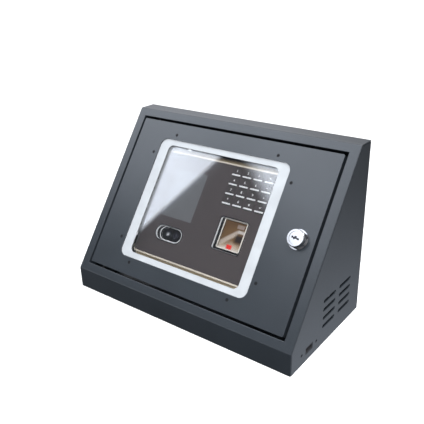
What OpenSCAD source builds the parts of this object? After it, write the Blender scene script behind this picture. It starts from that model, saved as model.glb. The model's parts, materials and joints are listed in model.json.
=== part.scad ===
// Lockable desk case for a fingerprint terminal.
// A folded-steel wedge with a hinged window door, a cam lock, and the terminal on a rail inside.
// Frame: x to the right, y to the back, z up; origin at the middle of the base.

/* [Case] */
// Width of the case, side to side
case_w = 300; // [285:5:400]
// Depth of the case over its base
case_d = 150; // [150:5:220]
// Height of the case at the back
case_h = 200; // [200:5:260]
// Height of the upright lip at the front
lip_h = 26; // [22:1:36]
// Depth of the level strip on top
top_d = 21.5; // [15:0.5:30]
// Thickness of the folded steel
sheet = 1.5; // [1.2:0.1:2]
// Outer radius of the folds
bend_r = 2.5; // [2:0.5:4]
// Width of the seam line between two sheets
seam = 0.4; // [0.3:0.1:0.8]

/* [Door] */
// Frame left beside the door opening
frame_side = 11; // [10:0.5:16]
// Frame left above and below the door opening
frame_end = 9.7; // [8:0.1:14]
// Gap all round the door leaf
door_gap = 3; // [2.5:0.1:4]
// Depth of the folded edge of the door
door_edge = 12; // [11:0.5:13]
// Depth of the folded edge round the opening
rim_depth = 14; // [13.5:0.5:16]
// Distance of the hinge axis and of the lock axis from the door edge beside it
axis_inset = 18; // [16:0.5:20]
// Depth of the hinge axis below the door face
hinge_depth = 6; // [5:0.5:7]
// Diameter of the hinge pins
hinge_pin_d = 4; // [3:0.1:5]

/* [Window] */
// Width of the cut-out in the door
window_w = 181; // [160:1:186]
// Height of the cut-out in the door
window_h = 150; // [140:1:156]
// Corner radius of the cut-out
window_r = 9; // [6:0.5:14]
// Window middle, to the left of the case middle
window_shift = 7.5; // [0:0.5:8]
// Width of the clear opening in the white frame
clear_w = 155; // [130:1:158]
// Height of the clear opening in the white frame
clear_h = 136.4; // [115:0.1:137]
// Thickness of the white frame
frame_t = 1.2; // [1:0.1:2]
// Thickness of the pane
pane_t = 2; // [1.5:0.1:3]
// How far the window pieces reach behind the door, past the cut-out
window_lap = 10; // [9:0.5:11]
// Distance of the window screws from the cut-out
screw_out = 6; // [5:0.5:6.5]
// Thread diameter of the window screws
window_screw_d = 2; // [1.6:0.1:3]

/* [Lock] */
// Diameter of the lock head
lock_head_d = 19; // [17:0.5:22]
// How far the lock head stands off the door
lock_head_h = 9; // [6:0.5:10]
// Diameter of the threaded lock body
lock_body_d = 16; // [15.5:0.5:18]
// Diameter of the plug that the key turns
lock_plug_d = 13.5; // [11:0.5:14]
// Reach of the cam from the lock axis
cam_reach = 22; // [19:0.5:24]

/* [Terminal] */
// Width of the terminal
term_w = 170; // [168:1:190]
// Height of the terminal
term_h = 140; // [136:1:148]
// Thickness of the terminal
term_t = 32; // [32:0.5:36]
// Depth of the terminal face below the door face
term_depth = 15; // [14:0.5:18]
// Terminal middle, to the left of the case middle
term_shift = 9.5; // [6:0.5:12]
// Height of the glossy face panel
face_h = 127.6; // [120:0.1:130]
// Thickness of the glossy face panel
face_t = 1.5; // [1:0.1:2]
// Wall of the terminal shells
shell_t = 2; // [1.5:0.1:2.5]

/* [Face layout] */
// Key cap width
key_w = 12.8; // [11:0.1:13]
// Key cap height
key_h = 9.8; // [8:0.1:10]
// Distance between key columns
key_pitch_x = 14.6; // [14.4:0.1:16]
// Distance between key rows
key_pitch_y = 11.4; // [11.2:0.1:13]
// Travel of a key
key_travel = 0.8; // [0.5:0.1:1.2]
// Width of the finger recess
finger_w = 38.4; // [34:0.1:40]
// Height of the finger recess
finger_h = 39.6; // [34:0.1:42]
// Depth of the finger recess
finger_d = 10; // [6:0.5:12]
// Length of the camera recess
camera_w = 40.4; // [34:0.1:44]
// Height of the camera recess
camera_h = 19.6; // [16:0.1:22]
// Depth of the camera recess
camera_d = 9; // [5:0.5:10]
// Width of the display module
lcd_w = 50; // [46:0.5:54]
// Height of the display module
lcd_h = 69; // [62:0.5:69]

/* [Vents and ports] */
// Length of a vent slot
slot_w = 27; // [20:1:30]
// Height of a vent slot
slot_h = 4; // [3:0.5:5]
// Distance between vent slots, one above the other
slot_pitch = 10; // [8:0.5:12]
// Width of the data port cut-out
port_w = 14.6; // [13.5:0.1:16]
// Height of the data port cut-out
port_h = 7.6; // [6.5:0.1:9]
// Distance between the data port screws
port_pitch = 30; // [28:0.5:32]
// Bore of the cable grommet
cable_bore = 12; // [8:0.5:14]
// Diameter of the wall screws' holes
wall_hole_d = 6.5; // [5:0.5:8]
// Distance between wall holes, side to side
wall_pitch_x = 180; // [120:5:220]
// Distance between wall holes, up and down
wall_pitch_z = 100; // [80:5:120]

/* [Hidden] */
$fn = 48;
KEYS = ["key_1", "key_2", "key_3", "key_back",
        "key_4", "key_5", "key_6", "key_up",
        "key_7", "key_8", "key_9", "key_down",
        "key_star", "key_0", "key_hash", "key_enter"];

// Clearances
fit = 0.3;        // between pieces that must not touch
run_fit = 0.075;  // radial, where one piece turns in another
weld_lap = 12;    // width of a flange that is welded or screwed

// The slope: its own frame has x across, y up the slope and z out of the door face
slope_rise = case_h - lip_h;
slope_run = case_d - top_d;
slope_a = atan2(slope_rise, slope_run);
slope_len = norm([slope_rise, slope_run]);
slope_mid = slope_len / 2;

// Door opening and leaf, in the slope frame
open_w = case_w - 2 * frame_side;
open_len = slope_len - 2 * frame_end;
door_w = open_w - 2 * door_gap;
door_len = open_len - 2 * door_gap;
hinge_x = axis_inset - door_w / 2;
lock_x = door_w / 2 - axis_inset;
stop_reach = 6;   // width of the stop strip behind the door's free edge

// Stack behind the door sheet, measured down from the door face
frame_top = sheet;
pane_top = frame_top + frame_t;
retainer_top = pane_top + pane_t;
retainer_t = 1;
nut_top = retainer_top + retainer_t;
nut_h = 0.8 * window_screw_d;
nut_flats = 2 * window_screw_d;
screw_spots = concat(
    [for (sx = [-1, 1], sy = [-1, 1]) [sx * 71, sy * (window_h / 2 + screw_out)]],
    [for (sx = [-1, 1], sy = [-1, 1]) [sx * (window_w / 2 + screw_out), sy * 55]]);

// Lock, measured down from the door face
cam_t = 2;
cam_w = 14;
cam_top = rim_depth + fit;
lock_nut_h = 4;
cam_screw_head_h = 2.5;
keyway_depth = 12;
keyway = [[-4.4, -0.7], [-2.2, -0.8], [-1.8, -1.9], [-0.6, -1.9], [-0.2, -1], [1.8, -0.9], [2.2, -1.7],
    [4.4, -1.7], [4.4, 0.3], [1.5, 0.5], [1.2, 1.9], [-1.1, 1.9], [-1.4, 0.6], [-2.4, 0.6], [-2.8, 1.4],
    [-4.4, 1.4]];

// Terminal, measured down from its own face; its frame has z = 0 at the face
face_w = term_w - 2;
face_r = 5.5;
shell_r = 7;
panel_drop = 0.3;           // the shell's face lies this far below the panel's
split_z = 18;               // joint between the two shells
screen_x = -38.4;
screen_y = 15.4;
camera_x = -40.2;
camera_y = -34.2;
finger_x = 40.2;
finger_y = -15;
keys_x = 43.1;
keys_y = 39;
key_cap_up = 0.2;           // key caps stand this far above the face
key_flange = 0.7;           // how far a key's flange reaches past its cap
key_flange_t = 1;
bezel_t = 1;
lens_d = 8;
lens_x = [-6.6, 5.2];       // the camera's two lenses, from the middle of its recess
prism_ledge = 0.7;          // floor left between the prism and the walls of its recess
prism_w = finger_w - 2 * (bezel_t + prism_ledge);
prism_h = finger_h - 2 * (bezel_t + prism_ledge);
prism_t = 9;
main_top = 22.4;            // depth of the main board
// where the key switches' domes and their board lie, below the keys at full travel
flange_low = face_t + fit + key_flange_t;
dome_top = flange_low + key_travel + fit;
dome_h = 0.8;
pocket_d = 3.4;             // pocket in the terminal's back for its wall plate
plate_w = 120;
plate_h = 72;
plate_t = 1.2;
rail_h = 84;
board_t = 1.6;
rail_top = term_depth + term_t;

// Ports and vents, from the front edge of the case and the floor
port_y = 36.5;
port_z = 12;
vent_y = [77, 112.2];
vent_z = 22;
rear_screw_z = [18, case_h / 2, case_h - 20];
rear_screw_x = case_w / 2 - sheet - weld_lap / 2;
rear_screw_d = 3;
cable_x = -60;
cable_z = 34;
wall_z = 96;

// ---------- shared shapes ----------

module on_slope() translate([0, -case_d / 2, lip_h]) rotate([slope_a, 0, 0]) children();

module at_terminal() on_slope() translate([-term_shift, slope_mid, -term_depth]) children();

module at_window() on_slope() translate([-window_shift, slope_mid, 0]) children();

module at_lock() on_slope() translate([lock_x, slope_mid, 0]) children();

// A slab from z = -bottom up to z = -top, centred on x and y
module slab(w, h, top, bottom) translate([-w / 2, -h / 2, -bottom]) cube([w, h, bottom - top]);

module rounded(w, h, r) {
    square([w - 2 * r, h], center = true);
    square([w, h - 2 * r], center = true);
    for (sx = [-1, 1], sy = [-1, 1]) translate([sx * (w / 2 - r), sy * (h / 2 - r)]) circle(r);
}

module round_slab(w, h, r, top, bottom)
    translate([0, 0, -bottom]) linear_extrude(bottom - top) rounded(w, h, r);

module stadium_slab(w, h, top, bottom) translate([0, 0, -bottom]) linear_extrude(bottom - top) {
    square([w - h, h], center = true);
    for (s = [-1, 1]) translate([s * (w - h) / 2, 0]) circle(h / 2);
}

module rod(d, top, bottom) translate([0, 0, -bottom]) cylinder(d = d, h = bottom - top);

// Countersunk screw with its head's face at z = 0, pointing down
module sunk_screw(d, length) {
    head = 1.9 * d;
    sink = (head - d) / 2;
    difference() {
        union() {
            translate([0, 0, -sink]) cylinder(d1 = d, d2 = head, h = sink);
            translate([0, 0, -length]) cylinder(d = d, h = length - sink / 2);
        }
        for (a = [0, 90]) rotate(a) slab(head * 0.62, d * 0.22, -1, sink * 0.7);
    }
}

module sunk_hole(d, length) {
    head = 1.9 * d;
    sink = (head - d) / 2;
    translate([0, 0, -sink]) cylinder(d1 = d, d2 = head, h = sink);
    translate([0, 0, -length]) cylinder(d = d, h = length);
    cylinder(d = head, h = 1);
}

// ---------- the case's outline, seen from the side ----------

// Corners of the outline, from the front of the base up and over to the back
outline = [[-case_d / 2, 0], [-case_d / 2, lip_h], [case_d / 2 - top_d, case_h], [case_d / 2, case_h]];
// Inward directions of the lip, the slope and the top
inward = [[1, 0], [sin(slope_a), -cos(slope_a)], [0, -1]];

// The outline moved inwards by d
function inset(d) = [
    outline[0] + d * inward[0],
    outline[1] + d * (inward[0] + inward[1]) / (1 + inward[0] * inward[1]),
    outline[2] + d * (inward[1] + inward[2]) / (1 + inward[1] * inward[2]),
    outline[3] + d * inward[2]];

// Points of an arc of radius r that rounds corner p between corners a and b
function arc_points(a, p, b, r) =
    let (ua = (a - p) / norm(a - p), ub = (b - p) / norm(b - p),
         half = acos(ua * ub) / 2, reach = r / tan(half),
         hub = p + (ua + ub) / norm(ua + ub) * r / sin(half),
         from = p + ua * reach - hub, to = p + ub * reach - hub,
         start = atan2(from[1], from[0]), turn = atan2(to[1], to[0]) - start)
    [for (i = [0:6]) hub + r * [cos(start + turn * i / 6), sin(start + turn * i / 6)]];

// The inset outline with its two folds rounded
function folded(d) = let (p = inset(d), r = max(bend_r - d, 0.4))
    concat([p[0]], arc_points(p[0], p[1], p[2], r), arc_points(p[1], p[2], p[3], r), [p[3]]);

function backwards(list) = [for (i = [len(list) - 1:-1:0]) list[i]];

// Extrudes a shape drawn in (y, z) along x, from x0 to x1
module along_x(x0, x1) translate([x0, 0, 0]) rotate([90, 0, 90]) linear_extrude(x1 - x0) children();

// ---------- the case ----------

module front_wrap() color([0.27, 0.29, 0.31]) {
    difference() {
        along_x(-case_w / 2, case_w / 2) polygon(concat(folded(0), backwards(folded(sheet))));
        on_slope() translate([0, slope_mid, 0]) slab(open_w, open_len, -1, 5 * sheet);
    }
    difference() {
        on_slope() translate([0, slope_mid, 0]) {
            difference() {
                slab(open_w + 2 * sheet, open_len + 2 * sheet, sheet, rim_depth);
                slab(open_w, open_len, sheet - 1, rim_depth + 1);
            }
            translate([open_w / 2 - stop_reach, -open_len / 2, -rim_depth])
                cube([stop_reach + sheet / 2, open_len, sheet]);
        }
        hinge_bores(hinge_pin_d);
    }
}

// Bores along the hinge axis through both ends of the door opening
module hinge_bores(d) on_slope() translate([hinge_x, slope_mid, -hinge_depth])
    for (s = [-1, 1]) translate([0, s * open_len / 2, 0])
        rotate([90, 0, 0]) cylinder(d = d, h = 6 * sheet, center = true);

module hinge_pins() color([0.75, 0.76, 0.78])
    on_slope() translate([hinge_x, slope_mid, -hinge_depth])
        for (s = [-1, 1]) rotate([s * -90, 0, 0]) translate([0, 0, open_len / 2]) {
            translate([0, 0, sheet]) cylinder(d = 1.75 * hinge_pin_d, h = 1.5);
            translate([0, 0, -(door_gap + sheet + 2)]) cylinder(d = hinge_pin_d, h = door_gap + 2 * sheet + 2);
        }

module base_plate() color([0.24, 0.25, 0.27]) difference() {
    translate([-case_w / 2 + sheet, -case_d / 2 + sheet, 0])
        cube([case_w - 2 * sheet, case_d - 2 * sheet, sheet]);
    for (sx = [-1, 1], sy = [-1, 1])
        translate([sx * (case_w / 2 - 40), sy * (case_d / 2 - 30), -1]) cylinder(d = 4.5, h = sheet + 2);
}

// Points of a side panel's outline, drawn d inside the case's and stopping at depth `back`
function side_points(d, back) = let (f = folded(d))
    concat([for (i = [0:len(f) - 2]) f[i]], [[back, f[len(f) - 1][1]], [back, 0]]);

// A side panel, drawn for the right-hand side
module side_pan(with_port) {
    skin = case_w / 2;
    flange = weld_lap - 4;
    back = case_d / 2 - sheet;
    difference() {
        union() {
            along_x(skin - sheet, skin - sheet / 2) polygon(side_points(sheet, back));
            // the outer half is a little smaller, which leaves the seam line
            along_x(skin - sheet / 2, skin) polygon(side_points(sheet + seam, back - seam));
            // flanges under the slope, along the back and on the base plate
            on_slope() translate([skin - flange, 8, -2 * sheet]) cube([flange - sheet, slope_len - 16, sheet]);
            translate([skin - sheet - weld_lap, case_d / 2 - 2 * sheet, 6]) cube([weld_lap, sheet, case_h - 14]);
            translate([skin - sheet - weld_lap, 10 - case_d / 2, sheet]) cube([weld_lap, case_d - 20, sheet]);
        }
        for (y = vent_y, i = [0:3]) translate([skin, y - case_d / 2, vent_z + i * slot_pitch])
            rotate([90, 0, 90]) stadium_slab(slot_w, slot_h, -1, 2 * sheet);
        for (z = rear_screw_z) translate([rear_screw_x, case_d / 2, z]) rotate([-90, 0, 0])
            rod(rear_screw_d, 0, 4 * sheet);
        if (with_port) translate([skin, port_y - case_d / 2, port_z]) rotate([90, 0, 90]) {
            slab(port_w, port_h, -1, 2 * sheet);
            for (s = [-1, 1]) translate([s * port_pitch / 2, 0, 0]) rod(3.4, -1, 2 * sheet);
        }
    }
}

module side_panel_right() color([0.25, 0.26, 0.28]) side_pan(true);

module side_panel_left() color([0.25, 0.26, 0.28]) mirror([1, 0, 0]) side_pan(false);

module at_rear_screws() for (s = [-1, 1], z = rear_screw_z)
    translate([s * rear_screw_x, case_d / 2, z]) rotate([-90, 0, 0]) children();

module rear_cover() color([0.24, 0.25, 0.27]) difference() {
    translate([-case_w / 2, case_d / 2 - sheet, 0]) cube([case_w, sheet, case_h - sheet - seam / 2]);
    at_rear_screws() sunk_hole(rear_screw_d, 3 * sheet);
    for (sx = [-1, 1], sz = [-1, 1])
        translate([sx * wall_pitch_x / 2, case_d / 2, wall_z + sz * wall_pitch_z / 2])
            rotate([-90, 0, 0]) rod(wall_hole_d, -1, 3 * sheet);
    translate([cable_x, case_d / 2, cable_z]) rotate([-90, 0, 0]) rod(cable_bore + 5, -1, 3 * sheet);
}

module rear_screws() color([0.5, 0.5, 0.52]) at_rear_screws() sunk_screw(rear_screw_d, 8);

// Rubber bush, clipped over the edge of its hole; its outer face is flush with the cover
module cable_grommet() color([0.08, 0.08, 0.08])
    translate([cable_x, case_d / 2, cable_z]) rotate([-90, 0, 0]) difference() {
        union() {
            rod(cable_bore + 5, 0, sheet);
            rod(cable_bore + 10, sheet, sheet + 2.5);
        }
        rod(cable_bore, -1, 10);
    }

// Cross rail that carries the terminal, welded to both side panels
module mount_rail() color([0.55, 0.57, 0.6]) on_slope() translate([0, slope_mid, 0]) {
    span = case_w - 2 * sheet;
    difference() {
        slab(span, rail_h, rail_top, rail_top + sheet);
        at_plate_screws(rail_top) rod(4, -5, 5);
        for (s = [-1, 1]) translate([s * (term_w / 2 + 20), 0, -rail_top])
            stadium_slab(12, 6, -2, 4);
    }
    for (s = [-1, 1]) translate([s * (span - sheet) / 2, 0, 0])
        slab(sheet, rail_h, rail_top - weld_lap, rail_top + sheet);
}

// Places of the wall plate's screws, in the slope frame about the slope's middle
module at_plate_screws(depth) for (sx = [-1, 1], sy = [-1, 1])
    translate([sx * 45 - term_shift, sy * 24, -depth]) children();

// ---------- data port on the right-hand side ----------

module at_port() translate([case_w / 2 - sheet, port_y - case_d / 2, port_z]) rotate([90, 0, 90]) children();

module port_socket() color([0.12, 0.12, 0.13]) at_port() difference() {
    union() {
        stadium_slab(port_pitch + 9, 9, 0, 3);
        slab(port_w + 1, port_h, 0, 19);
        slab(port_w - 2 * fit, port_h - 2 * fit, fit - sheet, 0.5);
    }
    slab(12.2, 4.7, -5, 13);
    for (s = [-1, 1]) translate([s * port_pitch / 2, 0, 0]) rod(3, -1, 4);
}

module port_screws() color([0.1, 0.1, 0.1]) at_port()
    for (s = [-1, 1]) translate([s * port_pitch / 2, 0, sheet - 0.4]) difference() {
        rod(3, 0, 6);
        for (a = [0, 90]) rotate(a) slab(2, 0.6, -1, 0.6);
    }

// ---------- the door ----------

module door_panel() color([0.28, 0.3, 0.32]) difference() {
    on_slope() translate([0, slope_mid, 0]) {
        round_slab(door_w, door_len, 1.5, 0, sheet);
        difference() {
            round_slab(door_w, door_len, 1.5, sheet, door_edge);
            slab(door_w - 2 * sheet, door_len - 2 * sheet, sheet - 1, door_edge + 1);
        }
    }
    at_window() round_slab(window_w, window_h, window_r, -1, 2 * sheet);
    at_window() for (p = screw_spots) translate(p) sunk_hole(window_screw_d, 2 * sheet);
    at_lock() rod(lock_body_d, -1, 2 * sheet);
    hinge_bores_door(hinge_pin_d + 2 * run_fit);
}

module hinge_bores_door(d) on_slope() translate([hinge_x, slope_mid, -hinge_depth])
    for (s = [-1, 1]) translate([0, s * (door_len - sheet) / 2, 0])
        rotate([90, 0, 0]) cylinder(d = d, h = 3 * sheet, center = true);

// One layer of the window: the outer size is shared, the opening and the depth differ
module window_layer(open_w, open_h, open_r, top, thick) at_window() difference() {
    round_slab(window_w + 2 * window_lap, window_h + 2 * window_lap, window_r, top, top + thick);
    if (open_w > 0) round_slab(open_w, open_h, open_r, top - 1, top + thick + 1);
    for (p = screw_spots) translate(p) rod(window_screw_d, top - 1, top + thick + 1);
}

module window_frame() color([0.86, 0.88, 0.91]) window_layer(clear_w, clear_h, 6.5, frame_top, frame_t);

module window_pane() color([0.75, 0.8, 0.84, 0.35]) window_layer(0, 0, 0, pane_top, pane_t);

module window_retainer() color([0.6, 0.62, 0.64])
    window_layer(clear_w + 6, clear_h + 4, 8, retainer_top, retainer_t);

module window_screws() color([0.3, 0.31, 0.33])
    at_window() for (p = screw_spots) translate(p) sunk_screw(window_screw_d, nut_top + nut_h + 0.6);

module window_nuts() color([0.7, 0.7, 0.72]) at_window() for (p = screw_spots) translate(p)
    difference() {
        translate([0, 0, -nut_top - nut_h]) cylinder(d = nut_flats / cos(30), h = nut_h, $fn = 6);
        rod(window_screw_d, nut_top - 1, nut_top + nut_h + 1);
    }

// ---------- the lock ----------

module lock_barrel() color([0.85, 0.85, 0.87]) at_lock() difference() {
    union() {
        rod(lock_head_d + 2.5, -1.5, 0);
        rod(lock_head_d, -lock_head_h + 0.8, 0);
        translate([0, 0, lock_head_h - 0.8]) cylinder(d1 = lock_head_d, d2 = lock_head_d - 1.6, h = 0.8);
        rod(lock_body_d, 0, cam_top - 1.5);
    }
    rod(lock_plug_d + 2 * run_fit, -lock_head_h - 1, cam_top);
}

module lock_nut() color([0.7, 0.7, 0.72]) at_lock() difference() {
    translate([0, 0, -sheet - lock_nut_h]) cylinder(d = 20 / cos(30), h = lock_nut_h, $fn = 6);
    rod(lock_body_d, 0, 3 * lock_nut_h);
}

// The plug turns in the barrel; its square end carries the cam
module lock_plug() color([0.8, 0.8, 0.82]) at_lock() difference() {
    union() {
        rod(lock_plug_d, 0.6 - lock_head_h, cam_top);
        slab(7, 7, cam_top - 0.1, cam_top + cam_t);
    }
    translate([0, 0, lock_head_h - keyway_depth]) linear_extrude(keyway_depth) polygon(keyway);
    rod(3, cam_top - 4, cam_top + cam_t + 1);
}

// Unlocked, the cam hangs down the slope
module lock_cam() color([0.65, 0.66, 0.68]) at_lock() difference() {
    union() {
        rod(cam_w, cam_top, cam_top + cam_t);
        translate([0, -cam_reach / 2 + 1, 0]) slab(cam_w - 2, cam_reach - 2, cam_top, cam_top + cam_t);
        translate([0, -cam_reach + 3, 0]) slab(cam_w - 5, 6, cam_top, cam_top + cam_t);
    }
    slab(7, 7, cam_top - 1, cam_top + cam_t + 1);
}

module cam_screw() color([0.5, 0.5, 0.52]) at_lock()
    translate([0, 0, -cam_top - cam_t]) rotate([180, 0, 0]) difference() {
        union() {
            cylinder(d = 9, h = cam_screw_head_h);
            translate([0, 0, -cam_t - 3]) cylinder(d = 3, h = cam_t + 4);
        }
        translate([0, 0, cam_screw_head_h + 1]) slab(6, 1, 0, 2);
    }

// ---------- the terminal ----------

// Side view of the terminal, in (y, z), with its slanted top and bottom edges
module term_profile(d) polygon([
    for (p = [[1, term_t], [1, 6], [face_h / term_h, panel_drop]]) [term_h / 2 * p[0] - d, -p[1] - d / 2],
    for (p = [[face_h / term_h, panel_drop], [1, 6], [1, term_t]]) [d - term_h / 2 * p[0], -p[1] - d / 2]]);

module term_solid(d) intersection() {
    along_x(-term_w / 2, term_w / 2) term_profile(d);
    round_slab(term_w - 2 * d, term_h - 2 * d, shell_r - d, -1, term_t + d);
}

module key_spots() for (i = [0:3], j = [0:3])
    translate([keys_x + (i - 1.5) * key_pitch_x, keys_y + (1.5 - j) * key_pitch_y, 0]) children();

// Openings in the terminal's face, each wider by `gap` than what fills it
module face_openings(gap, bottom) {
    translate([camera_x, camera_y, 0]) stadium_slab(camera_w + 2 * gap, camera_h + 2 * gap, -1, bottom);
    translate([finger_x, finger_y, 0]) round_slab(finger_w + 2 * gap, finger_h + 2 * gap, 3, -1, bottom);
}

module face_panel() color([0.1, 0.1, 0.11]) at_terminal() difference() {
    round_slab(face_w, face_h, face_r, 0, face_t);
    face_openings(0, face_t + 1);
    key_spots() round_slab(key_w + 2 * fit, key_h + 2 * fit, 1.8, -1, face_t + 1);
}

// Bright lines along the top and the bottom of the panel, turned a little round its corners
module face_trim() color([0.85, 0.8, 0.7]) at_terminal() difference() {
    round_slab(face_w + 1.6, face_h + 2.2, face_r + 0.8, 0, 1.2);
    round_slab(face_w, face_h, face_r, -1, 2);
    slab(term_w + 10, face_h - 8, -1, 2);
}

module front_shell() color([0.16, 0.16, 0.17]) at_terminal() difference() {
    intersection() {
        term_solid(0);
        slab(term_w, term_h, -1, split_z);
    }
    // the panel and its trim lie in a pocket of the face
    round_slab(face_w + 1.6, face_h + 2.2, face_r + 0.8, -1, 1.2);
    round_slab(face_w, face_h, face_r, -1, face_t);
    intersection() {
        slab(term_w - 2 * shell_t, term_h - 2 * shell_t, face_t + shell_t, term_t);
        round_slab(term_w - 2 * shell_t, term_h - 2 * shell_t, shell_r - shell_t, 0, term_t);
        along_x(-term_w, term_w) term_profile(shell_t + 0.5);
    }
    face_openings(0, 10);
    translate([screen_x, screen_y, 0]) slab(lcd_w, lcd_h, 0, 10);
    translate([keys_x, keys_y, 0])
        slab(4 * key_pitch_x + 2, 4 * key_pitch_y + 2, 0, 10);
}

module rear_shell() color([0.13, 0.13, 0.14]) at_terminal() difference() {
    intersection() {
        term_solid(0);
        slab(term_w, term_h, split_z, term_t);
    }
    round_slab(term_w - 2 * shell_t, term_h - 2 * shell_t, shell_r - shell_t,
        split_z - 1, term_t - pocket_d - shell_t);
    // pocket for the wall plate, cable mouth and screw holes
    slab(plate_w + 4, plate_h + 4, term_t - pocket_d, term_t + 1);
    translate([0, -term_h / 2 + 16, 0]) slab(30, 10, split_z, term_t + 1);
    at_shell_screws() {
        rod(3, -split_z, 1);
        rod(6.4, 0, pocket_d + 1);
    }
}

// The shells' screws go in from the back, at the four corners
module at_shell_screws() for (sx = [-1, 1], sy = [-1, 1])
    translate([sx * (term_w / 2 - 10), sy * (term_h / 2 - 10), -term_t + pocket_d]) children();

module shell_screws() color([0.5, 0.5, 0.52]) at_terminal()
    at_shell_screws() rotate([180, 0, 0]) {
        translate([0, 0, -shell_t - 6]) cylinder(d = 3, h = shell_t + 6);
        cylinder(d = 5.6, h = 1.8);
    }

module wall_plate() color([0.6, 0.62, 0.64]) difference() {
    at_terminal() slab(plate_w, plate_h, term_t - plate_t, term_t);
    on_slope() translate([0, slope_mid, 0]) at_plate_screws(rail_top) rod(4, -5, 5);
}

module wall_plate_screws() color([0.7, 0.7, 0.72]) on_slope() translate([0, slope_mid, 0])
    at_plate_screws(rail_top - plate_t) {
        cylinder(d = 7.6, h = 1.8);
        rod(4, 0, plate_t + sheet + 4);
    }

module lcd_module() color([0.3, 0.33, 0.36]) at_terminal() translate([screen_x, screen_y, 0])
    slab(lcd_w - 0.6, lcd_h - 0.6, face_t, face_t + 3.2);

module camera_bezel() color([0.1, 0.1, 0.1]) at_terminal() translate([camera_x, camera_y, 0])
    difference() {
        stadium_slab(camera_w, camera_h, 0, camera_d + bezel_t);
        stadium_slab(camera_w - 2 * bezel_t, camera_h - 2 * bezel_t, -1, camera_d);
        for (x = lens_x) translate([x, 0.6, 0]) rod(lens_d, 0, camera_d + 5);
    }

module camera_lenses() color([0.05, 0.05, 0.08]) at_terminal() translate([camera_x, camera_y, 0])
    for (x = lens_x) translate([x, 0.6, 0]) {
        rod(lens_d, camera_d - 1.4, camera_d + 4);
        translate([0, 0, -camera_d + 1.4]) intersection() {
            translate([0, 0, -5.5]) sphere(7);
            cylinder(d = lens_d - 2, h = 3);
        }
    }

module camera_board() color([0.1, 0.35, 0.2]) at_terminal() translate([camera_x, camera_y, 0])
    slab(44, 24, camera_d + 4, camera_d + 4 + board_t);

module finger_bezel() color([0.1, 0.1, 0.1]) at_terminal() translate([finger_x, finger_y, 0])
    difference() {
        round_slab(finger_w, finger_h, 3, 0, finger_d + bezel_t);
        round_slab(finger_w - 2 * bezel_t, finger_h - 2 * bezel_t, 2.2, -1, finger_d);
        slab(prism_w, prism_h, 0, finger_d + 5);
    }

module sensor_prism() color([0.5, 0.36, 0.22]) at_terminal() translate([finger_x, finger_y, 0])
    along_x(-prism_w / 2, prism_w / 2) polygon([
        [-prism_h / 2, -finger_d + 0.2], [prism_h / 2, -finger_d + 0.2],
        [prism_h / 2, -finger_d - 3], [prism_h / 2 - 6, -finger_d - prism_t],
        [-prism_h / 2 + 6, -finger_d - prism_t], [-prism_h / 2, -finger_d - 3]]);

module sensor_lamp() color([0.8, 0.1, 0.08]) at_terminal()
    translate([finger_x - 3, finger_y - prism_h / 2 + 1, 0]) slab(8, 2, finger_d + 6, finger_d + prism_t);

module sensor_board() color([0.1, 0.35, 0.2]) at_terminal() translate([finger_x, finger_y, 0])
    slab(40, 40, finger_d + prism_t, finger_d + prism_t + board_t);

module key_domes() color([0.75, 0.72, 0.6]) at_terminal() key_spots()
    translate([0, 0, -dome_top - dome_h]) cylinder(d1 = 7, d2 = 5, h = dome_h);

module keypad_board() color([0.1, 0.35, 0.2]) at_terminal() translate([keys_x, keys_y, 0])
    slab(4 * key_pitch_x + 1, 4 * key_pitch_y + 1, dome_top + dome_h, dome_top + dome_h + board_t);

// A key: cap with a bar along its lower edge, and a flange that holds it behind the panel
module key_cap(i, j) color([0.12, 0.12, 0.13]) at_terminal()
    translate([keys_x + (i - 1.5) * key_pitch_x, keys_y + (1.5 - j) * key_pitch_y, 0]) {
        round_slab(key_w, key_h, 1.5, -key_cap_up, face_t + fit);
        slab(key_w + 2 * key_flange - 0.4, key_h + 2 * key_flange - 0.4, face_t + fit, flange_low);
        translate([0, -3, 0]) slab(11.3, 1.6, -key_cap_up - 0.4, 0);
    }

module main_board() color([0.1, 0.35, 0.2]) at_terminal() difference() {
    union() {
        slab(term_w - 12, 44, main_top, main_top + board_t);
        translate([-52, 26, 0]) slab(46, 60, main_top, main_top + board_t);
        for (p = [[-60, 30, 16], [-36, 12, 12], [20, 0, 10]])
            translate([p[0], p[1], 0]) slab(p[2], p[2], main_top - 1.4, main_top);
    }
    translate([finger_x, finger_y, 0]) slab(44, 44, 0, term_t);
}

module speaker() color([0.2, 0.2, 0.2]) at_terminal() translate([0, -48, 0]) {
    rod(24, main_top - 6, main_top - 2);
    rod(14, main_top - 2, main_top + 2);
}

// ---------- drawing ----------

front_wrap();
base_plate();
side_panel_left();
side_panel_right();
rear_cover();
rear_screws();
cable_grommet();
mount_rail();
hinge_pins();
port_socket();
port_screws();
door_panel();
window_frame();
window_pane();
window_retainer();
window_screws();
window_nuts();
lock_barrel();
lock_nut();
lock_plug();
lock_cam();
cam_screw();
front_shell();
rear_shell();
wall_plate();
wall_plate_screws();
face_panel();
face_trim();
lcd_module();
camera_bezel();
camera_lenses();
camera_board();
finger_bezel();
sensor_prism();
sensor_lamp();
sensor_board();
keypad_board();
key_domes();
main_board();
speaker();
shell_screws();
for (k = [0:15])
    key_cap(k % 4, floor(k / 4));
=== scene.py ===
# %% [markdown]
# A fingerprint terminal in a lockable steel desk case. The imported model gives every piece its true
# shape, size and place. This script is the second half of the work: finishes, small rounded edges,
# printed legends, light and camera. It starts by loading the model.

# %% Load the imported model
import json
import math

import bmesh
import bpy
from mathutils import Matrix, Vector


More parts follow.
